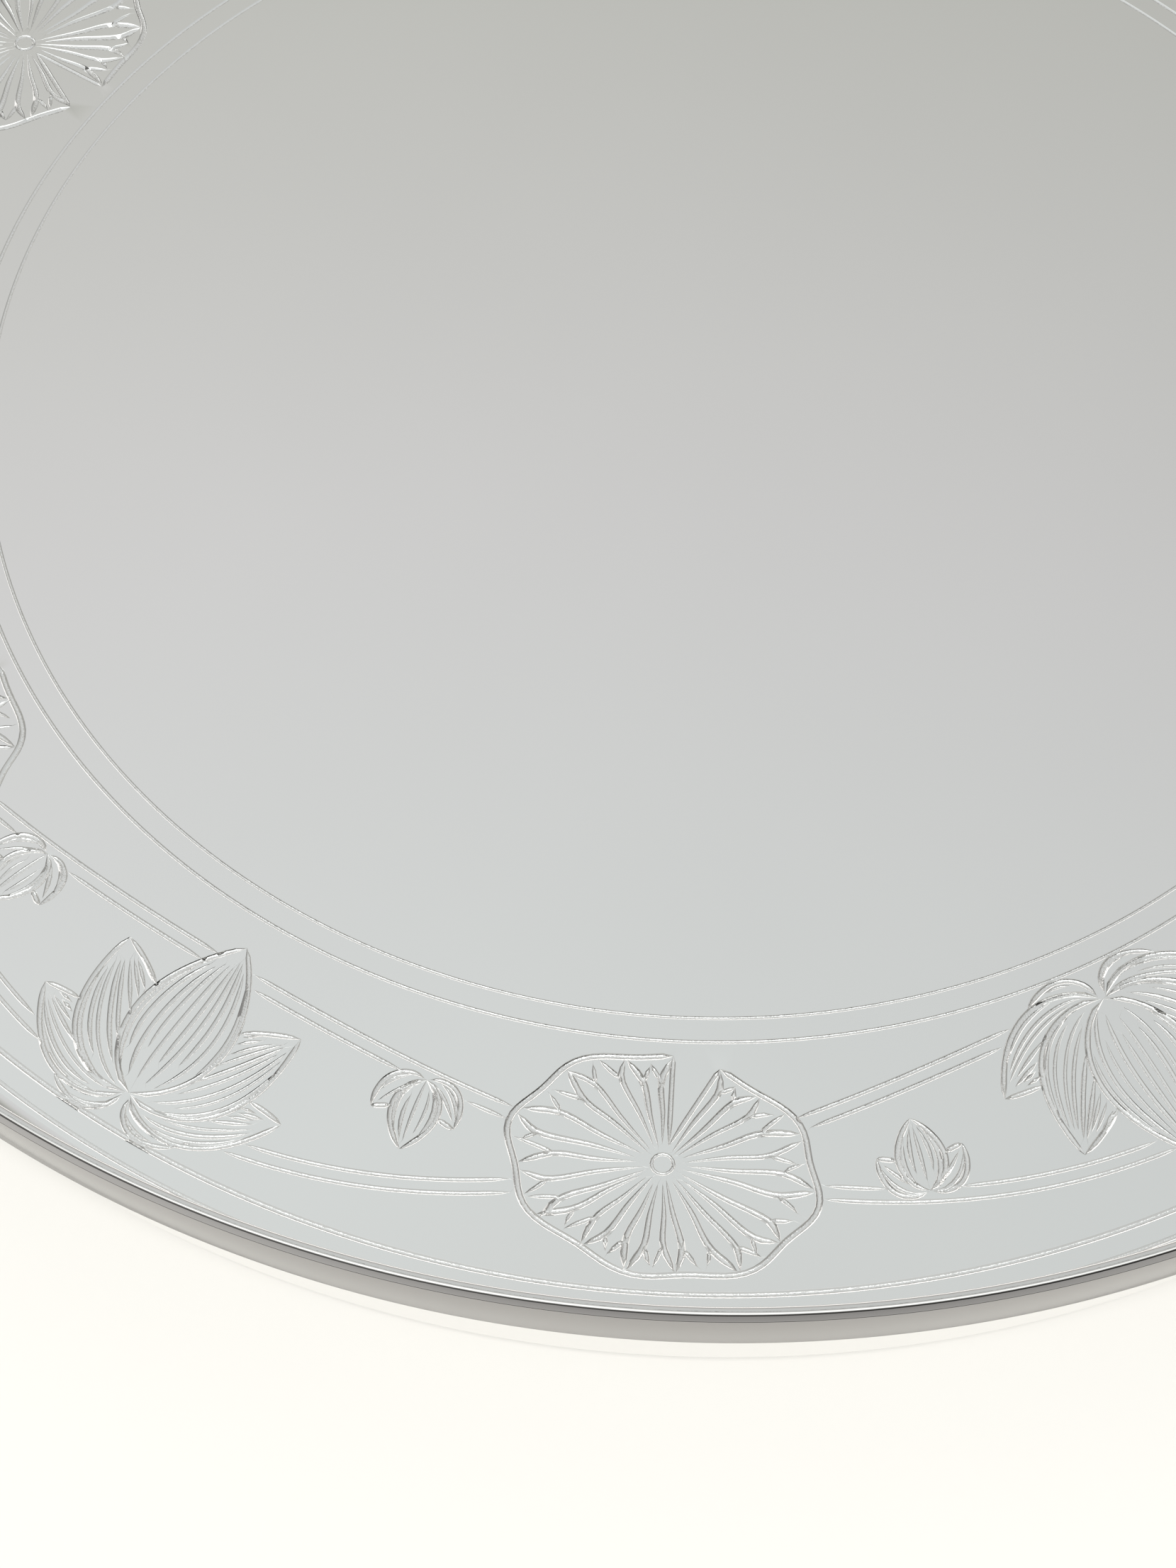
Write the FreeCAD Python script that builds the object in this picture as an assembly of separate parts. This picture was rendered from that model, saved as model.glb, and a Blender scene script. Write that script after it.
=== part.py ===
import FreeCAD, Part
import math
import os

# Round offering plate with an engraved lotus border, built by a silversmith from four pieces:
# a spun sheet dish, a solid tapered band soldered round the outside of its wall, a half-round wire
# soldered over both edges as the lip, and a foot ring soldered under the floor.
# Millimetres. +Z is up and the plate's axis of symmetry. The origin is the centre of the foot
# ring's bottom face, so the plate stands on z = 0.

# Driving dimensions
outer_diameter = 305.0          # over the rim, a 12 inch plate
sheet_thickness = 1.0           # gauge of the spun sheet
foot_height = 3.0               # how far the foot ring lifts the floor off the table
wall_depth = 28.55              # from the floor's top face up to the lip wire's flat underside

# Dish
floor_edge_radius = 140.5       # where the flat floor ends and the bend to the wall begins
bend_radius = 4.0               # inside radius of that bend

# Rim
lip_radius = 0.8                # half-round lip wire
lip_arcs = 8                    # arcs that its round side is divided into
band_height = 7.9               # outer band, measured down from the lip wire
band_lean = 0.85                # how far the band's face leans in towards its bottom edge

# Foot ring
foot_outer_radius = 126.5
foot_width = 2.6
foot_edge_round = 0.5

# Engraved ring lines in the dish floor: a pair round the mirror and a pair inside the wall
ring_radii = [99.0, 102.35, 136.3, 139.5]
ring_line_width = 0.5
ring_line_depth = 0.12

outer_radius = outer_diameter / 2
floor_underside = foot_height
floor_top = floor_underside + sheet_thickness
lip_base = floor_top + wall_depth
lip_centre_radius = outer_radius - lip_radius
wall_top_radius = lip_centre_radius - lip_radius


def wall_lean_angle():
    """Angle between the wall's inner face and the vertical.

    The inner face is the line from the wall's top that touches the bend's arc.
    """
    run = wall_top_radius - floor_edge_radius
    rise = lip_base - (floor_top + bend_radius)
    reach = math.hypot(run, rise)
    return math.atan2(run, rise) - math.asin(bend_radius / reach)


lean = wall_lean_angle()


def point(radius, height):
    """A point of a half section, in the XZ plane."""
    return FreeCAD.Vector(radius, 0, height)


def line(start, end):
    return Part.LineSegment(start, end).toShape()


def arc(start, middle, end):
    return Part.Arc(start, middle, end).toShape()


def spin(edges):
    """Turn a closed half section once round the plate's axis."""
    face = Part.Face(Part.Wire(edges))
    return face.revolve(FreeCAD.Vector(0, 0, 0), FreeCAD.Vector(0, 0, 1), 360)


def on_bend(radius, angle):
    """Point on an arc about the bend's centre; angle 0 is straight down, towards the floor."""
    centre_height = floor_top + bend_radius
    return point(
        floor_edge_radius + radius * math.sin(angle),
        centre_height - radius * math.cos(angle),
    )


def wall_outer_radius(height):
    """Radius of the wall's outer face at a height."""
    inner = wall_top_radius - (lip_base - height) * math.tan(lean)
    return inner + sheet_thickness / math.cos(lean)


def floor_line_edges():
    """Top face of the floor from the axis to the bend, with a V cut at each ring line."""
    corners = [point(0, floor_top)]
    for radius in ring_radii:
        corners.append(point(radius - ring_line_width / 2, floor_top))
        corners.append(point(radius, floor_top - ring_line_depth))
        corners.append(point(radius + ring_line_width / 2, floor_top))
    corners.append(point(floor_edge_radius, floor_top))
    return [line(start, end) for start, end in zip(corners, corners[1:])]


def make_dish():
    """Spun sheet: flat floor, bend and steep wall, all one thickness."""
    turn = math.pi / 2 - lean
    outer_bend = bend_radius + sheet_thickness
    inner_top = point(wall_top_radius, lip_base)
    outer_top = point(wall_outer_radius(lip_base), lip_base)
    edges = floor_line_edges()
    edges.append(arc(on_bend(bend_radius, 0), on_bend(bend_radius, turn / 2), on_bend(bend_radius, turn)))
    edges.append(line(on_bend(bend_radius, turn), inner_top))
    edges.append(line(inner_top, outer_top))
    edges.append(line(outer_top, on_bend(outer_bend, turn)))
    edges.append(arc(on_bend(outer_bend, turn), on_bend(outer_bend, turn / 2), on_bend(outer_bend, 0)))
    edges.append(line(on_bend(outer_bend, 0), point(0, floor_underside)))
    edges.append(line(point(0, floor_underside), point(0, floor_top)))
    return spin(edges)


def make_rim_band():
    """Solid band of tapered section, fitted to the outside of the wall under the lip."""
    bottom = lip_base - band_height
    corners = [
        point(wall_outer_radius(lip_base), lip_base),
        point(outer_radius, lip_base),
        point(outer_radius - band_lean, bottom),
        point(wall_outer_radius(bottom), bottom),
    ]
    return spin([line(start, end) for start, end in zip(corners, corners[1:] + corners[:1])])


def on_lip(angle):
    """Point on the lip wire's round side; angle 0 is its outer edge, a quarter turn its crown."""
    return point(
        lip_centre_radius + lip_radius * math.cos(angle),
        lip_base + lip_radius * math.sin(angle),
    )


def make_lip_wire():
    """Half-round wire that caps the edge of the dish and of the band.

    Its round side is one half circle, divided into short arcs that mesh evenly round the plate.
    """
    step = math.pi / lip_arcs
    edges = []
    for index in range(lip_arcs):
        start = index * step
        edges.append(arc(on_lip(start), on_lip(start + step / 2), on_lip(start + step)))
    edges.append(line(on_lip(math.pi), on_lip(0)))
    return spin(edges)


def make_foot_ring():
    """Rectangular ring with eased lower edges, soldered under the floor."""
    foot_inner_radius = foot_outer_radius - foot_width
    corner = foot_edge_round
    ease = corner * (1 - math.cos(math.pi / 4))
    inner_side = point(foot_inner_radius, corner)
    inner_mid = point(foot_inner_radius + ease, ease)
    inner_base = point(foot_inner_radius + corner, 0)
    outer_base = point(foot_outer_radius - corner, 0)
    outer_mid = point(foot_outer_radius - ease, ease)
    outer_side = point(foot_outer_radius, corner)
    inner_top = point(foot_inner_radius, foot_height)
    outer_top = point(foot_outer_radius, foot_height)
    return spin([
        line(inner_top, inner_side),
        arc(inner_side, inner_mid, inner_base),
        line(inner_base, outer_base),
        arc(outer_base, outer_mid, outer_side),
        line(outer_side, outer_top),
        line(outer_top, inner_top),
    ])


pieces = {
    "dish": make_dish(),
    "rim_band": make_rim_band(),
    "lip_wire": make_lip_wire(),
    "foot_ring": make_foot_ring(),
}

os.makedirs("parts", exist_ok=True)
for name, shape in pieces.items():
    shape.exportStep("parts/" + name + ".step")
    print(name, "valid", shape.isValid(), "volume mm3", round(shape.Volume, 1))
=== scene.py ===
import math
import random

import bpy
import numpy as np
from mathutils import Matrix, Vector
from mathutils.geometry import delaunay_2d_cdt


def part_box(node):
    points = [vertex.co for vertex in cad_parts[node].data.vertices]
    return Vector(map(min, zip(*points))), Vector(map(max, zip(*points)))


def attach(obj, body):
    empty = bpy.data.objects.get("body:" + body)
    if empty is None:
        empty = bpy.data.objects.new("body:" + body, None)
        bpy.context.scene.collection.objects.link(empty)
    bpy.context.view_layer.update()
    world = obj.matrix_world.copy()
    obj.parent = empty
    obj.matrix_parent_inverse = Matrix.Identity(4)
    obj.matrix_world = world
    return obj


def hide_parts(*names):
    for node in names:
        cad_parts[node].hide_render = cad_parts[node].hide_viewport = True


# Looks of the engraved offering plate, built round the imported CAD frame.
# Blender works in metres. The engraving is laid out in plan millimetres from the plate's axis.

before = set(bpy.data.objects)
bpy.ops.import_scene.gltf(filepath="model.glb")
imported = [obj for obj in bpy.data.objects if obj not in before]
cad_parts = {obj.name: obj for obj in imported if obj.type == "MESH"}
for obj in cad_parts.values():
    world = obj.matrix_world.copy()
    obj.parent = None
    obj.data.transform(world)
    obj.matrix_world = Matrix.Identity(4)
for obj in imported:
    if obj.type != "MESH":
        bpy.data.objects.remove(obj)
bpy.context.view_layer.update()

MM = 0.001

# Sizes read from the frame, in millimetres
dish_low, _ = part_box("dish")
band_low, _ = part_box("rim_band")
lip_low, lip_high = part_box("lip_wire")
_, foot_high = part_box("foot_ring")

outer_radius = lip_high.x / MM
lip_base = lip_low.z / MM
lip_radius = (lip_high.z - lip_low.z) / MM
band_bottom = band_low.z / MM
foot_outer_radius = foot_high.x / MM
foot_height = foot_high.z / MM
floor_underside = dish_low.z / MM

# Sizes that the frame's boxes don't hold, the same as in the CAD
sheet_thickness = 1.0
floor_edge_radius = 140.5
bend_radius = 4.0
band_lean = 0.85
foot_width = 2.6
floor_top = floor_underside + sheet_thickness

lip_centre_radius = outer_radius - lip_radius
wall_top_radius = lip_centre_radius - lip_radius
wall_run = wall_top_radius - floor_edge_radius
wall_rise = lip_base - (floor_top + bend_radius)
wall_lean = math.atan2(wall_run, wall_rise) - math.asin(bend_radius / math.hypot(wall_run, wall_rise))

TURN_STEPS = 480          # stations round every turned piece
BEND_STEPS = 12           # along the bend between floor and wall
WALL_STEPS = 6            # up the wall

# Ring lines turned in the floor: radius, width
RING_LINES = [(99.0, 0.5), (102.35, 0.55), (136.3, 0.85), (139.5, 0.65)]

random.seed(11)


# ---------------------------------------------------------------- strokes of the graver

LONGEST_TAPER = 3.0       # a cut narrows over this length at each end, or less if it is short
TIP_WIDTH = 0.08          # width of a cut's tip, as a share of its full width


class Stroke:
    """One cut: a line of stations in plan, with the cut's half width at each."""

    def __init__(self, points, width, ends=(1.0, 1.0), swell=0.0):
        self.points = np.asarray(points, float)
        steps = np.hypot(*np.diff(self.points, axis=0).T)
        run = np.concatenate([[0.0], np.cumsum(steps)])
        length = max(run[-1], 1e-6)
        taper = np.ones(len(self.points))
        for end, distance in zip(ends, (run, length - run)):
            if end > 0:
                taper *= np.clip(distance / (end * min(LONGEST_TAPER, 0.4 * length)), 0, 1) ** 0.6
        growth = 1 + swell * (2 * run / length - 1)
        self.half = 0.5 * width * growth * (TIP_WIDTH + (1 - TIP_WIDTH) * taper)


def curve(points, spacing=0.9):
    """Smooth line through a few points, as evenly spaced stations (a Catmull-Rom spline)."""
    knots = np.asarray(points, float)
    if len(knots) == 2:
        count = max(2, int(np.hypot(*(knots[1] - knots[0])) / spacing) + 1)
        return knots[0] + np.linspace(0, 1, count)[:, None] * (knots[1] - knots[0])
    padded = np.vstack([2 * knots[0] - knots[1], knots, 2 * knots[-1] - knots[-2]])
    fine = []
    for a, b, c, d in zip(padded, padded[1:], padded[2:], padded[3:]):
        t = np.linspace(0, 1, 24, endpoint=False)[:, None]
        fine.append(0.5 * (2 * b + (c - a) * t + (2 * a - 5 * b + 4 * c - d) * t**2
                           + (3 * b - a - 3 * c + d) * t**3))
    fine = np.vstack(fine + [padded[-2][None]])
    run = np.concatenate([[0], np.cumsum(np.hypot(*np.diff(fine, axis=0).T))])
    count = max(3, int(run[-1] / spacing) + 1)
    at = np.linspace(0, run[-1], count)
    return np.column_stack([np.interp(at, run, fine[:, k]) for k in (0, 1)])


def inside(points, outline):
    """Which points lie inside a closed outline."""
    x, y = points[:, 0][:, None], points[:, 1][:, None]
    x1, y1 = outline[:, 0], outline[:, 1]
    x2, y2 = np.roll(x1, -1), np.roll(y1, -1)
    crosses = (y1 > y) != (y2 > y)
    span = np.where(y2 == y1, 1.0, y2 - y1)
    return (np.sum(crosses & (x < (x2 - x1) * (y - y1) / span + x1), axis=1) % 2) == 1


SHORTEST_RUN = 3          # stations: what is left of a hidden line is dropped below this


def visible_runs(points, covers):
    """The stretches of a line that no cover in front of it hides."""
    hidden = np.zeros(len(points), bool)
    for cover in covers:
        hidden |= inside(points, cover)
    runs, start = [], None
    for index, gone in enumerate(hidden):
        if not gone and start is None:
            start = index
        if gone and start is not None:
            runs.append((start, index))
            start = None
    if start is not None:
        runs.append((start, len(points)))
    return [points[a:b] for a, b in runs if b - a >= SHORTEST_RUN]


class Drawing:
    """Strokes of the border. What is drawn first lies in front, and hides what is drawn later."""

    def __init__(self):
        self.strokes = []
        self.covers = []

    def cut(self, points, width, ends=(1.0, 1.0), swell=0.0):
        for run in visible_runs(points, self.covers):
            self.strokes.append(Stroke(run, width, ends, swell))

    def cover(self, outline):
        self.covers.append(outline)


def turned(points, degrees):
    """Points turned anticlockwise about the plate's axis."""
    angle = math.radians(degrees)
    spin = np.array([[math.cos(angle), math.sin(angle)], [-math.sin(angle), math.cos(angle)]])
    return np.asarray(points, float) @ spin


# ---------------------------------------------------------------- petals, flowers, leaves and stems

BORDER_RADIUS = 119.3     # middle of the border
MOTIFS = 12               # leaves and flowers by turns, evenly round the plate, the first a leaf
PETAL_PEAK = 0.43         # where a petal is widest, as a share of its length
PETAL_POINT = 1.7         # how sharply a petal narrows to its ends
OUTLINE_WIDTH = 0.8       # of a petal's outline
LATE_START = 0.14         # every other vein of a petal starts later by this share of its length
UNEVEN_PETAL = 0.2        # how much fuller one side of a leaning petal is
FOOT_GAP = 0.6            # between a bloom's base and the foot of each petal
LEAF_RADIUS = 14.6
LEAF_STRETCH = 1.3        # how much longer a leaf is round the border than across it
LEAF_NOTCH = 9.0          # half angle of the leaf's notch, in degrees
LEAF_WAVES = 8            # shallow waves round a leaf's rim
WAVE_DEPTH = 0.03         # of those waves, as a share of the leaf's radius
LEAF_OUTLINE = 0.9        # width of the leaf's outline
NOTCH_REACH = 2.6         # how near to the leaf's middle the notch comes
HUB_RADIUS = 1.35
LEAF_VEINS = 28
LEAF_TILT = 14.0          # the leaves tip to one side and the other by turns, in degrees
STEM_SWING = 12.5         # how far the stem winds from the middle of the border
COUNTER_SWING = 9.0       # and the second stem, which winds the other way behind it
STEM_WAVES = MOTIFS // 4  # full waves of a stem in one turn of the border
STEM_GAP = 1.8            # between a stem's two lines
STEM_WIDTH = 0.65         # of each line


def petal_side(base, tip, width, count=26):
    """One side of a petal: out from the base, widest at the peak, in to the pointed tip."""
    t = np.linspace(0, 1, count)
    rise, fall = PETAL_POINT * PETAL_PEAK, PETAL_POINT * (1 - PETAL_PEAK)
    swell = t**rise * (1 - t)**fall / (PETAL_PEAK**rise * (1 - PETAL_PEAK)**fall)
    along = tip - base
    across = np.array([-along[1], along[0]]) / np.hypot(*along)
    return base + t[:, None] * along + (width * swell)[:, None] * across


def draw_petal(drawing, base, tip, left, right, veins, turn):
    """A petal from base to tip, with its greatest widths to the left and right of that line."""
    base, tip = turned([base, tip], turn)
    left_side = petal_side(base, tip, left)
    right_side = petal_side(base, tip, -right)
    drawing.cut(left_side, OUTLINE_WIDTH, ends=(0.6, 0.6))
    drawing.cut(right_side, OUTLINE_WIDTH, ends=(0.6, 0.6))
    length = np.hypot(*(tip - base))
    for index in range(veins):
        share = (index + 0.5 + random.uniform(-0.16, 0.16)) / veins
        width = left - (left + right) * share
        line = petal_side(base, tip, width, count=max(8, int(length)))
        start = random.uniform(0.05, 0.14) + (LATE_START if index % 2 else 0.0)
        stop = random.uniform(0.88, 0.96) - 0.08 * abs(2 * share - 1)
        line = line[int(start * len(line)):max(4, int(stop * len(line)))]
        drawing.cut(line, random.uniform(0.48, 0.72), ends=(1.1, 1.1))
    drawing.cover(np.vstack([left_side, right_side[::-1]]))


# Petals, front to back: lean from the bloom's own line in degrees, length, half width, veins
FLOWER = [(0, 25.0, 6.6, 10)]
for petal_lean, *petal_size in [(36, 22.5, 5.4, 9), (68, 19.5, 4.4, 8), (104, 9.5, 2.4, 4)]:
    FLOWER += [(petal_lean, *petal_size), (-petal_lean, *petal_size)]
BUD = [(0, 10.5, 2.9, 5), (42, 8.0, 2.0, 3), (-42, 8.0, 2.0, 3)]


def stem_radius(degrees, swing):
    """Distance from the plate's axis of a stem that winds to both sides of the border's middle."""
    return BORDER_RADIUS + swing * np.sin(np.radians(degrees * STEM_WAVES))


def draw_bloom(drawing, turn, radius, petals):
    """Symmetrical flower or bud that grows from a stem at this radius across the border's middle."""
    facing = 1 if radius > BORDER_RADIUS else -1
    base = np.array([0.0, -radius])
    for lean, length, half_width, veins in petals:
        direction = turned([(0.0, facing)], lean)[0]
        fuller = 1.0 + UNEVEN_PETAL * np.sign(lean)
        foot = base + FOOT_GAP * direction
        draw_petal(drawing, foot, base + length * direction, half_width * fuller,
                   half_width * (2 - fuller), veins, turn)


def draw_leaf(drawing, turn, tilt):
    """Lily leaf: a notched oval with forked veins that run out from a small round hub."""
    middle = turned([(0.0, -BORDER_RADIUS)], turn)[0]
    bearings = np.radians(np.linspace(90 + LEAF_NOTCH, 450 - LEAF_NOTCH, 90))
    wavy = LEAF_RADIUS * (1 + WAVE_DEPTH * np.cos(LEAF_WAVES * bearings))
    rim = np.column_stack([LEAF_STRETCH * wavy * np.cos(bearings), wavy * np.sin(bearings)])
    edge = middle + turned(rim, tilt + turn)
    notch_tip = middle + turned([(0.0, NOTCH_REACH)], tilt + turn)[0]
    drawing.cut(edge, LEAF_OUTLINE, ends=(0.4, 0.4))
    for corner in (edge[0], edge[-1]):
        drawing.cut(curve([corner, notch_tip]), 0.7, ends=(0.3, 1.0))
    drawing.cut(middle + circle(HUB_RADIUS, 17, closed=True), 0.5, ends=(0, 0))
    reach = edge - middle
    bearing = np.unwrap(np.arctan2(reach[:, 1], reach[:, 0]))
    distance = np.hypot(*reach.T)
    span = bearing[-1] - bearing[0]

    def at(share, part):
        """Point at a share of the way round the leaf and part of the way out to its rim."""
        angle = bearing[0] + span * share
        out = part * np.interp(angle, bearing, distance)
        return middle + out * np.array([math.cos(angle), math.sin(angle)])

    for index in range(LEAF_VEINS):
        share = (index + 0.5 + random.uniform(-0.15, 0.15)) / LEAF_VEINS
        side = (1 if index % 2 else -1) / LEAF_VEINS
        fork = random.uniform(0.7, 0.8)
        main = curve([at(share, random.uniform(0.13, 0.19)), at(share + 0.1 * side, 0.45),
                      at(share, fork), at(share + 0.44 * side, 0.97)], 1.0)
        drawing.cut(main, random.uniform(0.7, 0.88), ends=(1.6, 0.6), swell=0.3)
        branch = curve([at(share, fork), at(share - 0.28 * side, 0.48 + fork / 2),
                        at(share - 0.44 * side, random.uniform(0.9, 0.97))], 0.8)
        drawing.cut(branch, random.uniform(0.58, 0.74), ends=(0.2, 1.0))
    drawing.cover(edge)


def draw_wave(drawing, swing):
    """A stem of two parallel cuts, which winds right round the border."""
    degrees = np.arange(0, 361, 3)
    radii = stem_radius(degrees, swing)
    bearings = np.radians(degrees - 90)
    line = curve(np.column_stack([radii * np.cos(bearings), radii * np.sin(bearings)]), 1.1)
    along = np.gradient(line, axis=0)
    along /= np.hypot(*along.T)[:, None]
    across = 0.5 * STEM_GAP * np.column_stack([-along[:, 1], along[:, 0]])
    for side in (-1, 1):
        drawing.cut(line + side * across, STEM_WIDTH, ends=(0.8, 0.8))
    drawing.cover(np.vstack([line + across, (line - across)[::-1]]))


def circle(radius, count, closed=False):
    """Points round a circle. A closed one ends where it started."""
    angles = np.linspace(0, 2 * math.pi, count, endpoint=closed)
    return np.column_stack([radius * np.cos(angles), radius * np.sin(angles)])


def border_strokes():
    """Every cut in the floor: leaves, flowers, buds and stems, and the turned rings."""
    drawing = Drawing()
    for index in range(MOTIFS):
        turn = index * 360 / MOTIFS
        if index % 2:
            draw_bloom(drawing, turn, stem_radius(turn, -STEM_SWING), FLOWER)
        else:
            draw_leaf(drawing, turn, LEAF_TILT if index % 4 else -LEAF_TILT)
        between = turn + 180 / MOTIFS
        draw_bloom(drawing, between, stem_radius(between, COUNTER_SWING), BUD)
    draw_wave(drawing, -STEM_SWING)
    draw_wave(drawing, COUNTER_SWING)
    strokes = drawing.strokes
    for radius, width in RING_LINES:
        strokes.append(Stroke(circle(radius, TURN_STEPS + 1, closed=True), width, ends=(0, 0)))
    return strokes


# ---------------------------------------------------------------- carving the floor

GRAVER_LEAN = 0.36        # how far a cut's bottom lies from its middle, in half widths
CUT_STEEPNESS = 0.9       # depth of a cut, in half widths
STRETCH = 40              # stations of a cut that are carved at a time
MERGE_DISTANCE = 1e-3     # points of the floor nearer than this become one


def cut_frame(stroke):
    """Direction across the cut and the bottom's offset, at each station."""
    along = np.gradient(stroke.points, axis=0)
    along /= np.maximum(np.hypot(*along.T), 1e-9)[:, None]
    across = np.column_stack([-along[:, 1], along[:, 0]])
    outward = stroke.points / np.maximum(np.hypot(*stroke.points.T), 1e-9)[:, None]
    bottom = -GRAVER_LEAN * stroke.half * np.sum(across * outward, axis=1)
    return across, bottom


def depth_under(stroke, across, bottom, points):
    """Depth of one cut at some points."""
    a, b = stroke.points[:-1], stroke.points[1:]
    run = b - a
    length2 = np.maximum((run**2).sum(1), 1e-12)
    rel = points[:, None, :] - a[None]
    t = np.clip((rel * run).sum(2) / length2, 0, 1)
    gap = rel - t[..., None] * run
    dist2 = (gap**2).sum(2)
    best = dist2.argmin(1)
    rows = np.arange(len(points))
    share = t[rows, best]

    def mix(values):
        return values[best] * (1 - share) + values[best + 1] * share

    half, middle = mix(stroke.half), mix(bottom)
    normal = across[best]
    offset = (gap[rows, best] * normal).sum(1)
    reach = np.sqrt(dist2[rows, best])
    offset = np.where(offset < 0, -reach, reach)
    left = (offset + half) / np.maximum(half + middle, 1e-6)
    right = (half - offset) / np.maximum(half - middle, 1e-6)
    return CUT_STEEPNESS * half * np.clip(np.minimum(left, right), 0, 1)


def carve_floor(strokes):
    """Triangulated floor face, in plan millimetres, with the depth of the engraving."""
    points, edges, frames = [], [], []
    for stroke in strokes:
        across, bottom = cut_frame(stroke)
        frames.append((across, bottom))
        for offset in (-stroke.half, bottom, stroke.half):
            first = len(points)
            line = stroke.points + offset[:, None] * across
            points.extend(map(tuple, line))
            edges.extend((first + i, first + i + 1) for i in range(len(line) - 1))
    rim = circle(floor_edge_radius, TURN_STEPS)
    first = len(points)
    points.extend(map(tuple, rim))
    edges.extend((first + i, first + (i + 1) % TURN_STEPS) for i in range(TURN_STEPS))
    vertices, _, faces, _, _, _ = delaunay_2d_cdt([Vector(p) for p in points], edges, [], 0, MERGE_DISTANCE)
    plan = np.array([tuple(v) for v in vertices])
    depth = np.zeros(len(plan))
    order = np.argsort(plan[:, 0])
    sorted_x = plan[order, 0]
    for stroke, (across, bottom) in zip(strokes, frames):
        for start in range(0, len(stroke.points) - 1, STRETCH):
            stop = min(start + STRETCH + 1, len(stroke.points))
            part = Stroke(stroke.points[start:stop], 1.0)
            part.half = stroke.half[start:stop]
            margin = part.half.max()
            low, high = part.points.min(0) - margin, part.points.max(0) + margin
            a, b = np.searchsorted(sorted_x, [low[0], high[0]])
            near = order[a:b]
            near = near[(plan[near, 1] >= low[1]) & (plan[near, 1] <= high[1])]
            if len(near):
                cut = depth_under(part, across[start:stop], bottom[start:stop], plan[near])
                depth[near] = np.maximum(depth[near], cut)
    return plan, depth, faces


# ---------------------------------------------------------------- turned pieces

def arc(centre, radius, start, stop, steps):
    """Points on an arc of a half section. Angles in degrees, 0 outwards and 90 up."""
    angles = np.radians(np.linspace(start, stop, steps + 1))
    return [(centre[0] + radius * math.cos(a), centre[1] + radius * math.sin(a)) for a in angles]


def mesh_object(name, vertices, faces, sharp_degrees=30.0):
    """New object, shaded smooth except across edges that bend more than this."""
    mesh = bpy.data.meshes.new(name)
    mesh.from_pydata([tuple(v) for v in vertices], [], faces)
    mesh.update()
    mesh.polygons.foreach_set("use_smooth", [True] * len(mesh.polygons))
    mesh.set_sharp_from_angle(angle=math.radians(sharp_degrees))
    piece = bpy.data.objects.new(name, mesh)
    bpy.context.scene.collection.objects.link(piece)
    return piece


def turn_profile(profile, closed, first_vertex=0):
    """Vertices and faces of a half section (radius, height) turned round the axis, in mm."""
    ring = np.radians(np.linspace(0, 360, TURN_STEPS, endpoint=False))
    vertices = []
    for radius, height in profile:
        vertices.extend((radius * math.cos(a), radius * math.sin(a), height) for a in ring)
    faces = []
    rows = len(profile) if closed else len(profile) - 1
    for row in range(rows):
        here = first_vertex + row * TURN_STEPS
        there = first_vertex + ((row + 1) % len(profile)) * TURN_STEPS
        for i in range(TURN_STEPS):
            j = (i + 1) % TURN_STEPS
            faces.append((here + i, here + j, there + j, there + i))
    return vertices, faces


def wall_outer(height):
    """Radius of the wall's outer face at a height."""
    inner = wall_top_radius - (lip_base - height) * math.tan(wall_lean)
    return inner + sheet_thickness / math.cos(wall_lean)


CUT_RIM_DEPTH = 0.01      # shallower than this counts as uncut
FULL_GRAIN_DEPTH = 0.1    # from this depth a cut has its full grain


def round_cut_bottoms(mesh, depths):
    """Smooth shading across every cut's bottom line. Its rims stay sharp."""
    ends = np.empty(2 * len(mesh.edges), np.int32)
    mesh.edges.foreach_get("vertices", ends)
    sharp = np.empty(len(mesh.edges), bool)
    mesh.attributes["sharp_edge"].data.foreach_get("value", sharp)
    sharp &= (depths[ends.reshape(-1, 2)] < CUT_RIM_DEPTH).any(axis=1)
    mesh.attributes["sharp_edge"].data.foreach_set("value", sharp)


def make_dish():
    """Spun sheet: the engraved floor, then bend, wall, outer wall and underside turned from its edge."""
    plan, depth, floor_faces = carve_floor(border_strokes())
    vertices = [(x, y, floor_top - d) for (x, y), d in zip(plan, depth)]
    lean = math.degrees(wall_lean)
    centre = (floor_edge_radius, floor_top + bend_radius)
    profile = arc(centre, bend_radius, -90, -lean, BEND_STEPS)
    for height in np.linspace(profile[-1][1], lip_base, WALL_STEPS + 1)[1:]:
        profile.append((wall_top_radius - (lip_base - height) * math.tan(wall_lean), height))
    profile.append((wall_outer(lip_base), lip_base))
    profile += arc(centre, bend_radius + sheet_thickness, -lean, -90, BEND_STEPS)
    inner_reach = profile[-1][0]
    profile += [(inner_reach * k / 5, floor_underside) for k in (4, 3, 2, 1)]
    turned_vertices, turned_faces = turn_profile(profile, False, len(vertices))
    faces = [tuple(f) for f in floor_faces] + [face[::-1] for face in turned_faces]
    vertices += turned_vertices
    last_ring = len(vertices) - TURN_STEPS
    faces.append(tuple(last_ring + i for i in reversed(range(TURN_STEPS))))
    depths = list(depth) + [0.0] * (len(vertices) - len(depth))
    piece = mesh_object("dish_shell", [Vector(v) * MM for v in vertices], faces, 9.0)
    round_cut_bottoms(piece.data, np.array(depths))
    attribute = piece.data.attributes.new("cut", "FLOAT", "POINT")
    roughened = np.zeros(len(vertices), np.float32)
    roughened[:len(depth)] = np.clip(depth / FULL_GRAIN_DEPTH, 0, 1)
    attribute.data.foreach_set("value", roughened)
    return piece


BAND_CORNER = 0.35        # rounding of the band's lower edge
BAND_CHAMFER = 0.1        # of its upper edge, which gives the line under the lip


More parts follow.
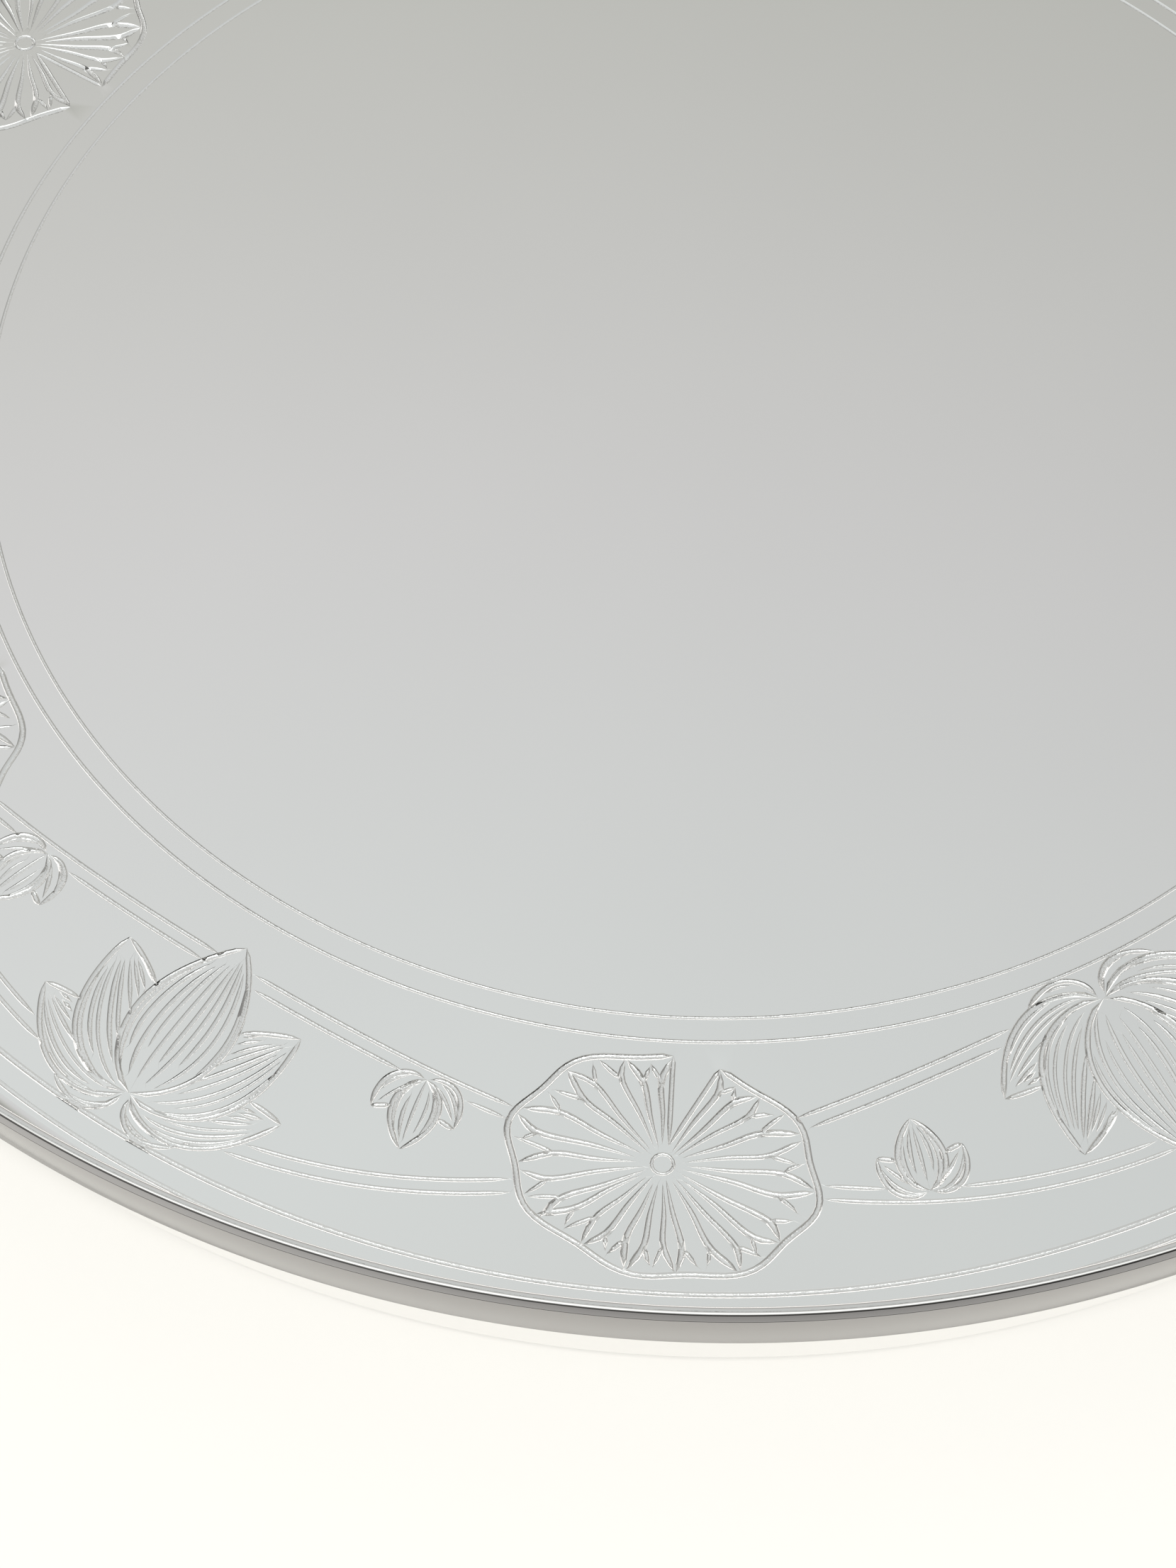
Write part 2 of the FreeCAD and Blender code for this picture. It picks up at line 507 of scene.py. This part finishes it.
def make_band():
    """Plain band outside the wall, leaning in towards its lower edge."""
    outer_bottom = outer_radius - band_lean
    profile = [
        (wall_outer(lip_base), lip_base),
        (wall_outer(band_bottom), band_bottom),
        (outer_bottom - BAND_CORNER, band_bottom),
        (outer_bottom - 0.1, band_bottom + 0.1),
        (outer_bottom, band_bottom + BAND_CORNER),
        (outer_radius, lip_base - BAND_CHAMFER),
        (outer_radius - BAND_CHAMFER, lip_base),
    ]
    vertices, faces = turn_profile(profile, True)
    return mesh_object("rim_band_shell", [Vector(v) * MM for v in vertices], faces)


LIP_SQUARENESS = 4.5      # of the inner half: 2 would be a plain quarter circle
LIP_BEVEL = 53.0          # slope of the outer side, in degrees
LIP_ROUNDING = 0.8        # radius between crown and outer side, in lip radii


def make_lip():
    """Wire over the edges of dish and band: nearly square inside, bevelled outside."""
    profile = []
    for angle in np.radians(np.linspace(180, 95, 16)):
        x, z = math.cos(angle), math.sin(angle)
        reach = (abs(x)**LIP_SQUARENESS + z**LIP_SQUARENESS)**(-1 / LIP_SQUARENESS)
        profile.append((lip_centre_radius + lip_radius * reach * x, lip_base + lip_radius * reach * z))
    bevel = math.radians(LIP_BEVEL)
    rounding = LIP_ROUNDING * lip_radius
    corner = outer_radius - lip_radius / math.tan(bevel)
    centre = (corner - rounding * math.tan(bevel / 2), lip_base + lip_radius - rounding)
    profile += arc(centre, rounding, 90, 90 - LIP_BEVEL, 14)
    profile.append((outer_radius, lip_base))
    vertices, faces = turn_profile(profile[::-1], True)
    return mesh_object("lip_wire_shell", [Vector(v) * MM for v in vertices], faces, 60.0)


def make_foot():
    """Low ring that the plate stands on."""
    inner = foot_outer_radius - foot_width
    corner = 0.5
    profile = [(inner, foot_height)]
    profile += arc((inner + corner, corner), corner, 180, 270, 6)
    profile += arc((foot_outer_radius - corner, corner), corner, 270, 360, 6)
    profile += [(foot_outer_radius, foot_height)]
    vertices, faces = turn_profile(profile, True)
    return mesh_object("foot_ring_shell", [Vector(v) * MM for v in vertices], faces)


# ---------------------------------------------------------------- materials

def new_material(name):
    """Material, its nodes and links, and its shader."""
    material = bpy.data.materials.new(name)
    material.use_nodes = True
    nodes = material.node_tree.nodes
    return material, nodes, material.node_tree.links, nodes["Principled BSDF"]


def silver(name, colour, roughness, haze):
    """Polished silver: metal whose colour and roughness vary in soft clouds."""
    material, nodes, links, shader = new_material(name)
    shader.inputs["Metallic"].default_value = 1.0
    coordinates = nodes.new("ShaderNodeTexCoord")
    clouds = nodes.new("ShaderNodeTexNoise")
    clouds.inputs["Scale"].default_value = 22.0
    clouds.inputs["Detail"].default_value = 5.0
    links.new(coordinates.outputs["Object"], clouds.inputs["Vector"])
    rough = nodes.new("ShaderNodeMapRange")
    rough.inputs["To Min"].default_value = roughness
    rough.inputs["To Max"].default_value = roughness + haze
    links.new(clouds.outputs["Fac"], rough.inputs["Value"])
    tint = nodes.new("ShaderNodeMix")
    tint.data_type = "RGBA"
    tint.inputs["A"].default_value = (*colour, 1)
    tint.inputs["B"].default_value = (*[c * 0.97 for c in colour], 1)
    links.new(clouds.outputs["Fac"], tint.inputs["Factor"])
    links.new(tint.outputs["Result"], shader.inputs["Base Color"])
    links.new(rough.outputs["Result"], shader.inputs["Roughness"])
    return material, nodes, links, shader, coordinates


def dish_material():
    """Mirror polish, with fine tool grain inside the cuts."""
    colour = (0.93, 0.925, 0.915)
    material, nodes, links, shader, coordinates = silver("engraved_silver", colour, 0.05, 0.05)
    cut = nodes.new("ShaderNodeAttribute")
    cut.attribute_name = "cut"
    grain = nodes.new("ShaderNodeTexNoise")
    grain.inputs["Scale"].default_value = 3800.0
    grain.inputs["Detail"].default_value = 2.0
    links.new(coordinates.outputs["Object"], grain.inputs["Vector"])
    bump = nodes.new("ShaderNodeBump")
    bump.inputs["Distance"].default_value = 0.00006
    links.new(grain.outputs["Fac"], bump.inputs["Height"])
    links.new(cut.outputs["Fac"], bump.inputs["Strength"])
    links.new(bump.outputs["Normal"], shader.inputs["Normal"])
    return material


def band_material():
    # Dark base colour: painted shade, so that the band's reflection of the pale table comes out dim grey
    # rather than white.
    material, *_ = silver("band_silver_painted_shade", (0.31, 0.30, 0.292), 0.14, 0.06)
    return material


def lip_material():
    material, *_ = silver("lip_silver", (0.80, 0.785, 0.77), 0.07, 0.04)
    return material


def foot_material():
    material, *_ = silver("foot_silver", (0.86, 0.845, 0.82), 0.14, 0.1)
    return material


# ---------------------------------------------------------------- stage, light and camera

def make_floor():
    """Pale matt table that glows a little, so that it stays near white."""
    size = 20.0
    corners = [(-size, -size, 0), (size, -size, 0), (size, size, 0), (-size, size, 0)]
    floor = mesh_object("table", corners, [(0, 1, 2, 3)])
    material, nodes, links, shader = new_material("pale_table")
    shader.inputs["Base Color"].default_value = (0.42, 0.412, 0.388, 1)
    shader.inputs["Emission Color"].default_value = (1.0, 0.982, 0.94, 1)
    shader.inputs["Emission Strength"].default_value = 0.36
    shader.inputs["Roughness"].default_value = 0.9
    shader.inputs["Specular IOR Level"].default_value = 0.0
    floor.data.materials.append(material)


def soft_step(nodes, links, value, low, high, start, stop):
    """Smooth change from start to stop as the value goes from low to high."""
    step = nodes.new("ShaderNodeMapRange")
    step.interpolation_type = "SMOOTHSTEP"
    step.inputs["From Min"].default_value = low
    step.inputs["From Max"].default_value = high
    step.inputs["To Min"].default_value = start
    step.inputs["To Max"].default_value = stop
    links.new(value, step.inputs["Value"])
    return step.outputs["Result"]


def combine(nodes, links, operation, first, second):
    """Result of one operation on two values."""
    node = nodes.new("ShaderNodeMath")
    node.operation = operation
    links.new(first, node.inputs[0])
    links.new(second, node.inputs[1])
    return node.outputs["Value"]


def make_world():
    """Studio round the plate: grey walls, a pale ceiling, a bright low sweep behind the plate,
    a dark stretch of wall on the camera's side and a bright stretch of ceiling above it."""
    world = bpy.data.worlds.new("studio")
    bpy.context.scene.world = world
    world.use_nodes = True
    nodes, links = world.node_tree.nodes, world.node_tree.links
    background = nodes["Background"]
    coordinates = nodes.new("ShaderNodeTexCoord")
    split = nodes.new("ShaderNodeSeparateXYZ")
    links.new(coordinates.outputs["Generated"], split.inputs["Vector"])
    across, away, height = split.outputs["X"], split.outputs["Y"], split.outputs["Z"]
    ramp = nodes.new("ShaderNodeValToRGB")
    links.new(height, ramp.inputs["Fac"])
    stops = [             # height of the direction, colour
        (0.0, (0.55, 0.545, 0.53)),
        (0.32, (0.27, 0.265, 0.26)),
        (0.55, (0.32, 0.32, 0.31)),
        (0.69, (0.53, 0.535, 0.505)),
        (0.80, (0.65, 0.65, 0.65)),
        (0.89, (0.69, 0.72, 0.715)),
        (0.97, (0.66, 0.67, 0.66)),
    ]
    elements = ramp.color_ramp.elements
    while len(elements) < len(stops):
        elements.new(0.5)
    for element, (position, colour) in zip(elements, stops):
        element.position = position
        element.color = (*colour, 1)
    camera_side = soft_step(nodes, links, away, -0.4, -0.05, 0.8, 0.0)
    below_ceiling = soft_step(nodes, links, height, 0.60, 0.74, 1.0, 0.0)
    above_table = soft_step(nodes, links, height, 0.10, 0.34, 0.0, 1.0)
    shade = combine(nodes, links, "MULTIPLY", camera_side, below_ceiling)
    shade = combine(nodes, links, "MULTIPLY", shade, above_table)
    sweep_side = soft_step(nodes, links, away, 0.5, 0.75, 0.0, 3.2)
    sweep_height = soft_step(nodes, links, height, 0.36, 0.57, 1.0, 0.0)
    sweep = combine(nodes, links, "MULTIPLY", sweep_side, sweep_height)
    lamp_side = soft_step(nodes, links, away, -0.25, 0.0, 1.1, 0.0)
    lamp_height = soft_step(nodes, links, height, 0.74, 0.86, 0.0, 1.0)
    lamp = combine(nodes, links, "MULTIPLY", lamp_side, lamp_height)
    sideways = soft_step(nodes, links, across, -0.6, 0.6, 1.12, 0.88)
    level = combine(nodes, links, "ADD", sideways, sweep)
    level = combine(nodes, links, "ADD", level, lamp)
    strength = combine(nodes, links, "SUBTRACT", level, shade)
    links.new(ramp.outputs["Color"], background.inputs["Color"])
    links.new(strength, background.inputs["Strength"])


def make_lights():
    """One soft lamp above and behind the viewer, so that the plate hides most of its own shadow."""
    data = bpy.data.lights.new("key", "AREA")
    data.shape = "SQUARE"
    data.size = 0.26
    data.energy = 15.0
    key = bpy.data.objects.new("key", data)
    bpy.context.scene.collection.objects.link(key)
    key.location = (0.0, -0.64, 1.04)
    key.rotation_euler = (Vector((0, 0, 0)) - key.location).to_track_quat("-Z", "Y").to_euler()
    key.visible_glossy = False


def make_camera():
    """A long lens over the plate's near half, looking steeply down."""
    distance, height = 0.3140, 0.3896 + floor_top * MM
    pitch, yaw, roll = math.radians(57.43), math.radians(-2.81), math.radians(0.67)
    forward = Vector((math.sin(yaw) * math.cos(pitch), math.cos(yaw) * math.cos(pitch), -math.sin(pitch)))
    level = Vector((math.cos(yaw), -math.sin(yaw), 0))
    above = level.cross(forward)
    right = math.cos(roll) * level + math.sin(roll) * above
    up = math.cos(roll) * above - math.sin(roll) * level
    data = bpy.data.cameras.new("camera")
    data.sensor_width = 36.0
    data.lens = 82.24
    data.clip_start = 0.01
    camera = bpy.data.objects.new("camera", data)
    bpy.context.scene.collection.objects.link(camera)
    camera.matrix_world = Matrix((
        (right.x, up.x, -forward.x, 0.0),
        (right.y, up.y, -forward.y, -distance),
        (right.z, up.z, -forward.z, height),
        (0, 0, 0, 1),
    ))
    bpy.context.scene.camera = camera


pieces = [
    (make_dish(), "dish", dish_material()),
    (make_band(), "rim_band", band_material()),
    (make_lip(), "lip_wire", lip_material()),
    (make_foot(), "foot_ring", foot_material()),
]
for piece, node, material in pieces:
    piece.data.materials.append(material)
    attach(piece, "root")
    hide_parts(node)

make_floor()
make_world()
make_lights()
make_camera()
bpy.context.scene.view_settings.view_transform = "Standard"
